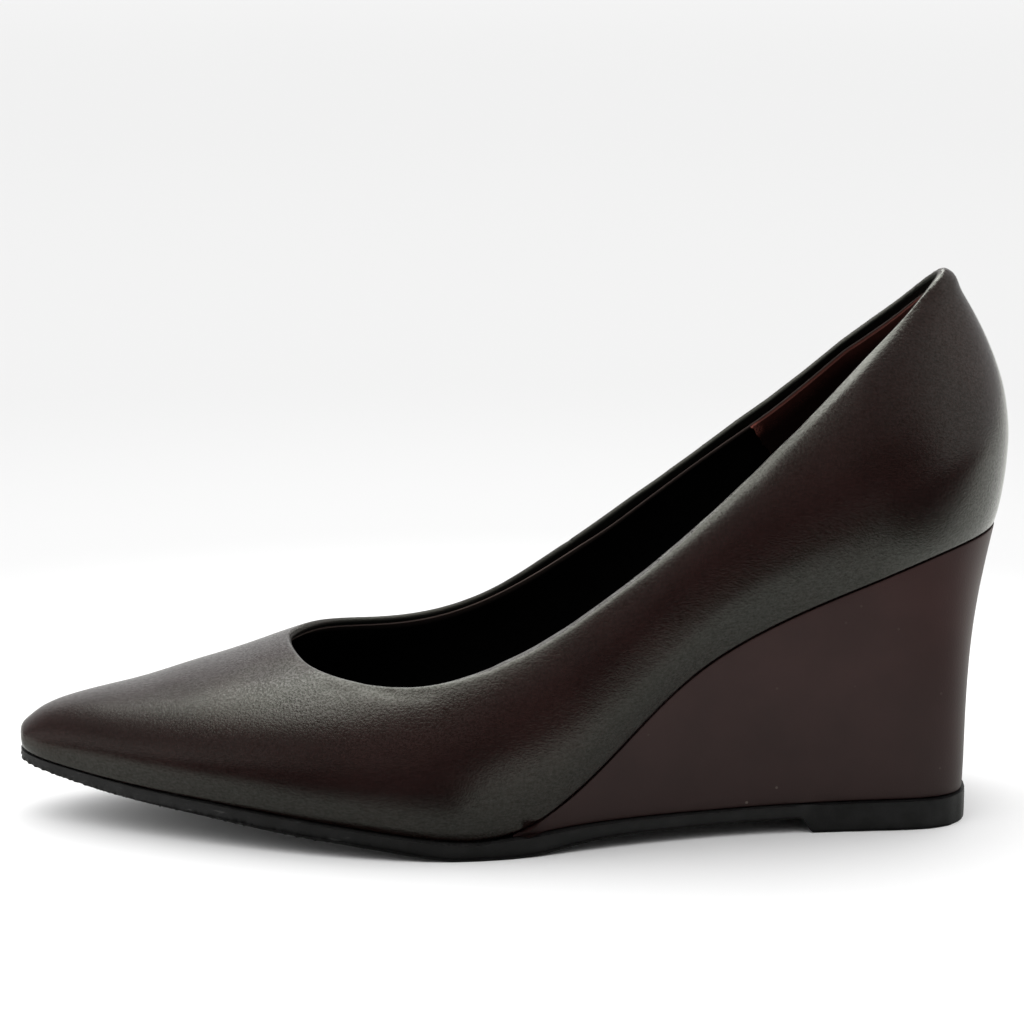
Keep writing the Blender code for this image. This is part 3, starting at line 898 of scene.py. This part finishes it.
def press_creases(piece):
    """Press the creases into the upper's outside as soft troughs and ridges."""
    normals = normals_of(piece)
    outside = read(piece, "outside")
    for crease in CREASES:
        start = Vector(crease.start) * MM
        along = Vector(crease.end) * MM - start
        width = crease.width * MM
        for vertex, normal, shown in zip(piece.data.vertices, normals, outside):
            share = (vertex.co - start).dot(along) / along.length_squared
            nearest = start + along * min(max(share, 0.0), 1.0)
            off = (vertex.co - nearest).length / width
            if off < CREASE_REACH and shown:
                vertex.co -= normal * shown * crease.depth * MM * math.exp(-off * off)


def soft_step(value, low, high):
    """Return a soft step from 0 at one value to 1 at another."""
    share = min(max((value - low) / (high - low), 0.0), 1.0)
    return share * share * (3.0 - 2.0 * share)


def fading(off, reach, power=1.0):
    """Return a value that falls from 1 to 0 at a distance."""
    return max(1.0 - off / reach, 0.0) ** power


def along_curve(curve, place):
    """Return the value of a curve of places and values, with soft steps between them."""
    for (start, before), (end, after) in zip(curve, curve[1:]):
        if place < end:
            return before + (after - before) * soft_step(place, start, end)
    return curve[-1][1]


def roll_topline(piece, from_topline, sizes):
    """Roll the topline's outside inward, swell the leather below it, fill its peak and set its height."""
    peak = Vector(sizes.peak)
    outside = read(piece, "outside")
    for vertex, normal, off, shown in zip(piece.data.vertices, normals_of(piece), from_topline, outside):
        along = vertex.co.x / MM
        heel = soft_step(along, *HEEL_BEGINS) * (1.0 - HEEL_EASE * soft_step(along, *HEEL_EASES))
        waist = soft_step(along, *WAIST_BEGINS) * (1.0 - soft_step(along, *WAIST_ENDS))
        outer = soft_step(-vertex.co.y / MM, *OUTER_SIDE)
        width = ROLL_WIDTH + HEEL_ROLL_WIDTH * heel
        depth = (ROLL_DEPTH + HEEL_ROLL_DEPTH * heel) * fading(off, width, ROLL_POWER)
        swell = soft_step(off, *HEEL_SWELL_BEGINS) * (1.0 - soft_step(off, *HEEL_SWELL_ENDS))
        depth -= HEEL_SWELL * heel * swell
        swell = soft_step(off, *WAIST_SWELL_BEGINS) * fading(off, WAIST_SWELL_REACH, WAIST_SWELL_POWER)
        depth -= WAIST_SWELL * waist * outer * swell
        near = math.exp(-((vertex.co - peak).length / PEAK_REACH) ** 2)
        level = Vector((normal.x, normal.y, 0.0))
        vertex.co -= level * (depth * (1.0 - near) * shown * MM)
        fill = math.exp(-((off - PEAK_FILL_AT) / PEAK_FILL_WIDTH) ** 2) * max(normal.x, 0.0)
        vertex.co += normal * (sizes.peak_fill * near * fill * shown)
        inner = soft_step(vertex.co.y / MM, *INNER_SIDE)
        along = vertex.co.x / MM
        felt = fading(off, HEIGHT_REACH) * MM
        vertex.co.z += sizes.peak_lift * near + along_curve(INNER_RISE, along) * inner * felt
        vertex.co.z -= along_curve(OUTER_FALL, along) * outer * felt
    piece.data.update()


def seat_feather(piece, from_feather, sizes):
    """Bring the upper's lower edge out and down to the outsole, ahead of the wedge."""
    outside = read(piece, "outside")
    for vertex, normal, off, shown in zip(piece.data.vertices, normals_of(piece), from_feather, outside):
        front = 1.0 - soft_step(vertex.co.x / MM, *FEATHER_ENDS)
        level = Vector((normal.x, normal.y, 0.0))
        out = fading(off, FEATHER_OUT_REACH, FEATHER_OUT_POWER)
        vertex.co += level * (sizes.feather_out * front * shown * out)
        vertex.co.z -= sizes.feather_down * front * fading(off, FEATHER_DOWN_REACH)
    piece.data.update()


def finish_piece(piece, material, slot, *nodes):
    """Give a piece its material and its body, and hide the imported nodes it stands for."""
    piece.data.materials.append(material)
    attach(piece, BODY)
    if nodes:
        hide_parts(*nodes)


class PUMP_OT_upper(Operator):
    """Make the leather upper with its rounded topline, turned-in facing and creases"""

    bl_idname = "pump.upper"
    bl_label = "Leather Upper"

    def execute(self, context):
        sizes = context.scene.pump_upper
        piece = merged_copy("upper", "upper_leather")
        inner_top = number_rows(piece, sizes)
        with editing(piece) as grid:
            rows = grid.verts.layers.int["row"]
            last = max(vertex[rows] for vertex in grid.verts)
            topline = [vertex.co.copy() for vertex in grid.verts if vertex[rows] == inner_top - 1]
            feather = [vertex.co.copy() for vertex in grid.verts if vertex[rows] == 0]
            pick(piece, grid, grid.edges, lambda edge: span(rows, edge) == (last, last))
            bpy.ops.transform.edge_crease(value=FULL_CREASE)
        with editing(piece) as grid:
            rows = grid.verts.layers.int["row"]
            pick(piece, grid, grid.edges, lambda edge: span(rows, edge) == (0, 0))
            bpy.ops.mesh.bevel(offset=sizes.feather_round, segments=RIM_SEGMENTS, profile=ROUND_PROFILE,
                               affect="EDGES")
        with editing(piece) as grid:
            rows = grid.verts.layers.int["row"]
            rims = ((inner_top - 1,) * 2, (inner_top,) * 2)
            pick(piece, grid, grid.edges, lambda edge: span(rows, edge) in rims)
            bpy.ops.mesh.bevel(offset=sizes.edge_round, segments=TOPLINE_SEGMENTS, profile=ROUND_PROFILE,
                               affect="EDGES")
        subdivide(piece, LEVELS)
        from_topline = distances(piece, densified(topline))
        store(piece, "from_topline", from_topline)
        roll_topline(piece, from_topline, sizes)
        seat_feather(piece, distances(piece, densified(feather)), sizes)
        press_creases(piece)
        # The upward lean of each point, by which the leather is painted darker where it faces down
        store(piece, "upward", [vertex.normal.z for vertex in piece.data.vertices])
        smooth(piece)
        finish_piece(piece, upper_finish(sizes), "upper_leather", "upper")
        return {"FINISHED"}


def inner_sheet(name, sizes, below_facing, left_rows):
    """Return the upper's inner wall below the facing as an open sheet, less some rows at its lower edge."""
    piece = merged_copy("upper", name)
    inner_top = number_rows(piece, sizes, below_facing)
    with editing(piece) as grid:
        rows = grid.verts.layers.int["row"]
        last = max(vertex[rows] for vertex in grid.verts)

        def outside(face):
            low, high = span(rows, face)
            return low <= inner_top or high > last - left_rows

        bpy.ops.mesh.select_mode(type="FACE")
        pick(piece, grid, grid.faces, outside)
        bpy.ops.mesh.delete(type="FACE")
    return piece


def lift(piece, distance):
    """Move a sheet along its normals."""
    with editing(piece):
        bpy.ops.mesh.select_all(action="SELECT")
        bpy.ops.transform.shrink_fatten(value=distance)


class PUMP_OT_lining(Operator):
    """Make the lining of the upper's inside, whose cut edge shows below the facing"""

    bl_idname = "pump.lining"
    bl_label = "Lining"

    def execute(self, context):
        sizes = context.scene.pump_inside
        piece = inner_sheet("lining", context.scene.pump_upper, 0.0, 0)
        with editing(piece) as grid:
            rows = grid.verts.layers.int["row"]
            first = min(vertex[rows] for vertex in grid.verts)
            last = max(vertex[rows] for vertex in grid.verts)
            top = [vertex.co.copy() for vertex in grid.verts if vertex[rows] == first]
            bottom = [vertex.co.copy() for vertex in grid.verts if vertex[rows] == last]
        subdivide(piece, LEVELS)
        to_top = distances(piece, top)
        to_bottom = distances(piece, bottom)
        with editing(piece) as grid:
            rim = [vertex.co.copy() for vertex in grid.verts
                   if vertex.is_boundary and to_top[vertex.index] < to_bottom[vertex.index]]
            pick(piece, grid, grid.verts,
                 lambda vertex: vertex.is_boundary and to_top[vertex.index] >= to_bottom[vertex.index])
            bpy.ops.transform.translate(value=(0.0, 0.0, -sizes.lining_drop))
        lift(piece, LINING_GAP)
        apply(piece, "SOLIDIFY", thickness=sizes.lining_thickness, offset=1.0)
        near = distances(piece, densified(rim))
        store(piece, "cut_edge", [fading(off, CUT_EDGE, CUT_EDGE_POWER) for off in near])
        smooth(piece)
        material = lining_finish(tuple(sizes.lining_colour), tuple(sizes.edge_colour))
        finish_piece(piece, material, "sock_lining")
        return {"FINISHED"}


class PUMP_OT_heel_grip(Operator):
    """Make the suede heel grip with its slightly frayed front edge"""

    bl_idname = "pump.heel_grip"
    bl_label = "Heel Grip"

    def execute(self, context):
        sizes = context.scene.pump_inside
        piece = inner_sheet("heel_grip", context.scene.pump_upper, GRIP_BELOW_FACING, 1)
        subdivide(piece, LEVELS)
        with editing(piece) as grid:
            middle = sum(vertex.co.z for vertex in grid.verts) / len(grid.verts)
            rim = [vertex.co.copy() for vertex in grid.verts if vertex.is_boundary and vertex.co.z > middle]
            bpy.ops.mesh.select_all(action="SELECT")
            lean = Vector((math.cos(sizes.grip_slant), 0.0, math.sin(sizes.grip_slant)))
            bpy.ops.mesh.bisect(plane_co=sizes.grip_front, plane_no=lean, clear_inner=True)
        with editing(piece) as grid:
            front = Vector(sizes.grip_front)
            for vertex in grid.verts:
                if vertex.is_boundary and abs((vertex.co - front).dot(lean)) < FRAY_NEAR:
                    vertex.co -= lean * noise.noise(vertex.co / FRAY_SIZE) * FRAY_LENGTH
            bmesh.update_edit_mesh(piece.data)
        lift(piece, sizes.lining_thickness + GRIP_GAP)
        apply(piece, "SOLIDIFY", thickness=sizes.grip_thickness, offset=1.0)
        store(piece, "from_rim", distances(piece, densified(rim)))
        smooth(piece)
        finish_piece(piece, grip_finish(tuple(sizes.grip_colour)), "sock_lining")
        return {"FINISHED"}


def hold_caps(piece, width):
    """Add a narrow ring of faces inside the rims of a plate's caps, which keeps their shape in smoothing."""
    with editing(piece) as grid:
        bpy.ops.mesh.select_mode(type="FACE")
        pick(piece, grid, grid.faces, lambda face: abs(face.normal.z) > CAP_LEAN)
        bpy.ops.mesh.inset(thickness=width, use_even_offset=True)


def rounded_plate(node, name, round_off, tip=None):
    """Copy a packed plate, round its rims behind its tip, and smooth it."""
    piece = merged_copy(node, name)
    hold_caps(piece, round_off * CAP_RING)

    def behind(edge):
        return tip is None or max(vertex.co.x for vertex in edge.verts) > tip

    with editing(piece) as grid:
        pick(piece, grid, grid.edges, lambda edge: is_rim(edge) and not behind(edge))
        bpy.ops.transform.edge_crease(value=FULL_CREASE)
    with editing(piece) as grid:
        pick(piece, grid, grid.edges, lambda edge: is_rim(edge) and behind(edge))
        bpy.ops.mesh.bevel(offset=round_off, segments=RIM_SEGMENTS, profile=ROUND_PROFILE, affect="EDGES",
                           clamp_overlap=True)
    subdivide(piece, LEVELS)
    return piece


class PUMP_OT_sock(Operator):
    """Make the sock that covers the insole"""

    bl_idname = "pump.sock"
    bl_label = "Sock"

    def execute(self, context):
        sizes = context.scene.pump_inside
        piece = rounded_plate("insole", "sock", SOCK_ROUND)
        smooth(piece)
        finish_piece(piece, sock_finish(tuple(sizes.lining_colour)), "sock_lining", "insole")
        return {"FINISHED"}


class PUMP_OT_wedge(Operator):
    """Make the leather-covered wedge"""

    bl_idname = "pump.wedge"
    bl_label = "Covered Wedge"

    def execute(self, context):
        sizes = context.scene.pump_wedge
        piece = rounded_plate("wedge_heel", "wedge_cover", sizes.edge_round, WEDGE_TIP_X * MM)
        for vertex, normal in zip(piece.data.vertices, normals_of(piece)):
            full = math.exp(-((vertex.co.z - sizes.back_height) / BACK_REACH) ** 2)
            vertex.co.x += sizes.back_fill * full * max(normal.x, 0.0) ** 2
        piece.data.update()
        smooth(piece)
        finish_piece(piece, wedge_finish(sizes), "wedge_leather", "wedge_heel")
        return {"FINISHED"}


def upright(edge):
    """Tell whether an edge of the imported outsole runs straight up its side."""
    first, second = (vertex.co for vertex in edge.verts)
    return (first - second).xy.length < MERGE_DISTANCE


def rim_share(place):
    """Return how much the lower rim is rounded, as a share of its rounding at the toe."""
    if place.x < TOE_X * MM:
        return 1.0
    return FOREFOOT_RIM_SHARE if place.x < BALL_X * MM else BACK_RIM_SHARE


class PUMP_OT_outsole(Operator):
    """Make the rubber outsole with its rounded tread, moulded line and rough forefoot edge"""

    bl_idname = "pump.outsole"
    bl_label = "Rubber Outsole"

    def execute(self, context):
        sizes = context.scene.pump_outsole
        piece = merged_copy("outsole", "rubber_outsole")
        with editing(piece) as grid:
            level = grid.verts.layers.float.new("level")
            for edge in filter(upright, grid.edges):
                max(edge.verts, key=lambda vertex: vertex.co.z)[level] = 1.0
            pick(piece, grid, grid.edges, lambda edge: edge.calc_face_angle(0.0) > STEP_ANGLE)
            bpy.ops.transform.edge_crease(value=FULL_CREASE)
        subdivide(piece, 1)
        with editing(piece):
            bpy.ops.mesh.select_all(action="SELECT")
            bpy.ops.transform.edge_crease(value=-FULL_CREASE)
        hold_caps(piece, sizes.edge_round * OUTSOLE_RING)
        with editing(piece) as grid:
            level = grid.verts.layers.float["level"]
            weights = grid.edges.layers.float.new("bevel_weight_edge")
            for edge in filter(is_rim, grid.edges):
                low, high = span(level, edge)
                if high == 0.0:
                    edge[weights] = rim_share((edge.verts[0].co + edge.verts[1].co) / 2)
                elif low == 1.0:
                    edge[weights] = TOP_RIM_SHARE
            bmesh.update_edit_mesh(piece.data)
        apply(piece, "BEVEL", width=sizes.edge_round, segments=RIM_SEGMENTS, limit_method="WEIGHT")
        with editing(piece) as grid:
            level = grid.verts.layers.float["level"]
            pick(piece, grid, grid.edges, lambda edge: span(level, edge) == UPPER_HALF)
            bpy.ops.mesh.subdivide(number_cuts=SIDE_CUTS)
        with editing(piece) as grid:
            level = grid.verts.layers.float["level"]
            low, high = GROOVE_LEVELS
            pick(piece, grid, grid.verts,
                 lambda vertex: low < vertex[level] < high and vertex.co.x < GROOVE_END_X * MM)
            bpy.ops.transform.shrink_fatten(value=-sizes.groove)
        subdivide(piece, LEVELS)
        roughen_edge(piece, sizes.ripple)
        store(piece, "under", [-vertex.normal.z for vertex in piece.data.vertices])
        smooth(piece)
        finish_piece(piece, outsole_finish(sizes), "sole_rubber", "outsole")
        return {"FINISHED"}


def roughen_edge(piece, depth):
    """Crinkle the lower half of the outsole's side, from the toe to the ball."""
    level = read(piece, "level")
    for vertex, normal, height in zip(piece.data.vertices, normals_of(piece), level):
        front = min(max((CRINKLE_END_X - vertex.co.x / MM) / CRINKLE_FADE, 0.0), 1.0)
        low = fading(height, CRINKLE_TOP)
        side = min(max(1.0 + normal.z, 0.0) * STEEPNESS, 1.0)
        drift = noise.noise(vertex.co / DRIFT_SIZE)
        place = vertex.co.x * CRINKLE_ALONG + abs(vertex.co.y - TIP_Y * MM) * CRINKLE_ACROSS
        scallop = abs(math.sin(math.pi * (place / SCALLOP + drift))) - SCALLOP_FILL
        crinkle = scallop + CRUMB_SHARE * noise.noise(vertex.co / CRUMB_SIZE)
        vertex.co += normal * (depth * crinkle * front * low * side)
        vertex.co.z = max(vertex.co.z, 0.0)
    piece.data.update()


def floor_finish(sizes):
    """Pale floor, painted greyer far off as its light falls off, on which the shoe's gloss alone sees a dark
    card and a glow.
    """
    finish = Finish("pale_floor", **{"Specular IOR Level": 0.0, "Roughness": 1.0, "Emission Strength": 1.0})
    along = finish.axis("X")
    across = finish.axis("Y")
    glossy = finish.node("ShaderNodeLightPath", output="Is Glossy Ray")
    pale = tuple(sizes.floor_colour)
    away = finish.node("ShaderNodeVectorMath", {"operation": "LENGTH"}, {0: finish.place}, "Value")
    colour = pale
    # Painted shade: the floor darkens step by step with its distance from the shoe
    for start, end, share in FLOOR_FADES:
        colour = finish.blend(finish.step(away, start, end), colour, shade_of(pale, share))
    wedge = finish.step(along, *CARD_WEDGE_BEGINS) * finish.fall(along, *CARD_WEDGE_ENDS)
    slanted = along + across * CARD_SLANT
    waist = finish.step(slanted, *CARD_WAIST_BEGINS) * finish.fall(slanted, *CARD_WAIST_ENDS)
    ball = finish.step(along, *CARD_BALL)
    edge = wedge * -CARD_BACK_AT_WEDGE - ball * CARD_BACK_AT_BALL - CARD_EDGE
    card = finish.fall(across, edge - waist * CARD_SOFT_AT_WAIST - CARD_SOFT, edge)
    in_gloss = finish.blend(wedge, shade_of(sizes.gloss_colour, GLOSS_SHADE), tuple(sizes.gloss_colour))
    colour = finish.blend(glossy, colour, in_gloss)
    colour = finish.blend(card * glossy, colour, tuple(sizes.flag_colour))
    behind = finish.step(along, *GLOW_ALONG) * finish.step(across, *GLOW_ACROSS)
    glow = finish.blend(behind * glossy, BLACK, tuple(sizes.glow_colour))
    finish.set({"Base Color": colour, "Emission Color": glow})
    return finish.material


def light_world():
    """Surround the shoe with soft light: bright overhead and past the toe, dark at the camera side."""
    world = bpy.data.worlds.new("studio")
    world.use_nodes = True
    bpy.context.scene.world = world
    bench = Bench(world.node_tree)
    backdrop = world.node_tree.nodes["Background"]
    ahead = bench.node("ShaderNodeTexCoord", output="Generated")
    glossy = bench.node("ShaderNodeLightPath", output="Is Glossy Ray")
    strength = SURROUND
    for box in SOFTBOXES:
        toward = bench.node("ShaderNodeVectorMath", {"operation": "DOT_PRODUCT"},
                            {0: ahead, 1: Vector(box.toward).normalized()}, "Value")
        share = bench.step(toward, math.cos(math.radians(box.gone)), math.cos(math.radians(box.whole)))
        if box.seen_by == GLOSS:
            share = share * glossy
        elif box.seen_by == MATT:
            share = share * (1.0 - glossy)
        strength = strength + share * (box.brightness - strength)
    seen = bench.node("ShaderNodeLightPath", output="Is Camera Ray")
    bench.feed(backdrop.inputs["Strength"], strength + seen * (SEEN_SURROUND - strength))
    backdrop.inputs["Color"].default_value = (1.0, 1.0, 1.0, 1.0)


class PUMP_OT_stage(Operator):
    """Set up the pale floor, the soft studio light and the camera"""

    bl_idname = "pump.stage"
    bl_label = "Studio"

    def execute(self, context):
        sizes = context.scene.pump_stage
        bpy.ops.object.select_all(action="DESELECT")
        bpy.ops.mesh.primitive_plane_add(size=sizes.floor_size, location=(0.0, 0.0, -FLOOR_GAP))
        floor = context.active_object
        floor.name = "floor"
        floor.data.materials.append(floor_finish(sizes))
        light_world()
        for box in PANELS:
            middle = ((box.left + box.right) / 2, (box.front + box.back) / 2, sizes.panel_height)
            bpy.ops.object.light_add(type="AREA", location=middle)
            panel = context.active_object
            panel.data.shape = "RECTANGLE"
            panel.data.size = box.right - box.left
            panel.data.size_y = box.back - box.front
            panel.data.energy = sizes.panel_power * box.share * panel.data.size * panel.data.size_y
            panel.data.color = PANEL_COLOUR
            panel.visible_camera = False
            panel.visible_diffuse = False
        place = Vector(sizes.camera_place)
        turn = (Vector(sizes.camera_target) - place).to_track_quat("-Z", "Y").to_euler()
        bpy.ops.object.camera_add(location=place, rotation=turn)
        camera = context.active_object
        camera.data.lens = sizes.lens
        context.scene.camera = camera
        context.scene.view_settings.view_transform = "Standard"
        return {"FINISHED"}


class PUMP_PT_tools(Panel):
    """List the steps that make the pump"""

    bl_idname = "PUMP_PT_tools"
    bl_label = "Wedge Pump"
    bl_space_type = "VIEW_3D"
    bl_region_type = "UI"
    bl_category = "Wedge Pump"

    def draw(self, context):
        for step in STEPS:
            self.layout.operator(step.bl_idname)
        for name, _ in SETTINGS:
            group = getattr(context.scene, name)
            box = self.layout.box()
            for field in group.bl_rna.properties.keys():
                if field not in ("rna_type", "name"):
                    box.prop(group, field)


SETTINGS = (
    ("pump_upper", UpperSettings),
    ("pump_inside", InsideSettings),
    ("pump_wedge", WedgeSettings),
    ("pump_outsole", OutsoleSettings),
    ("pump_stage", StageSettings),
)
STEPS = (
    PUMP_OT_upper,
    PUMP_OT_lining,
    PUMP_OT_heel_grip,
    PUMP_OT_sock,
    PUMP_OT_wedge,
    PUMP_OT_outsole,
    PUMP_OT_stage,
)


def register():
    for name, group in SETTINGS:
        bpy.utils.register_class(group)
        setattr(bpy.types.Scene, name, PointerProperty(type=group))
    for step in STEPS:
        bpy.utils.register_class(step)
    bpy.utils.register_class(PUMP_PT_tools)


def unregister():
    bpy.utils.unregister_class(PUMP_PT_tools)
    for step in reversed(STEPS):
        bpy.utils.unregister_class(step)
    for name, group in reversed(SETTINGS):
        delattr(bpy.types.Scene, name)
        bpy.utils.unregister_class(group)


def main():
    register()
    bpy.ops.pump.upper()
    bpy.ops.pump.lining()
    bpy.ops.pump.heel_grip()
    bpy.ops.pump.sock()
    bpy.ops.pump.wedge()
    bpy.ops.pump.outsole()
    bpy.ops.pump.stage()


if __name__ == "__main__":
    main()
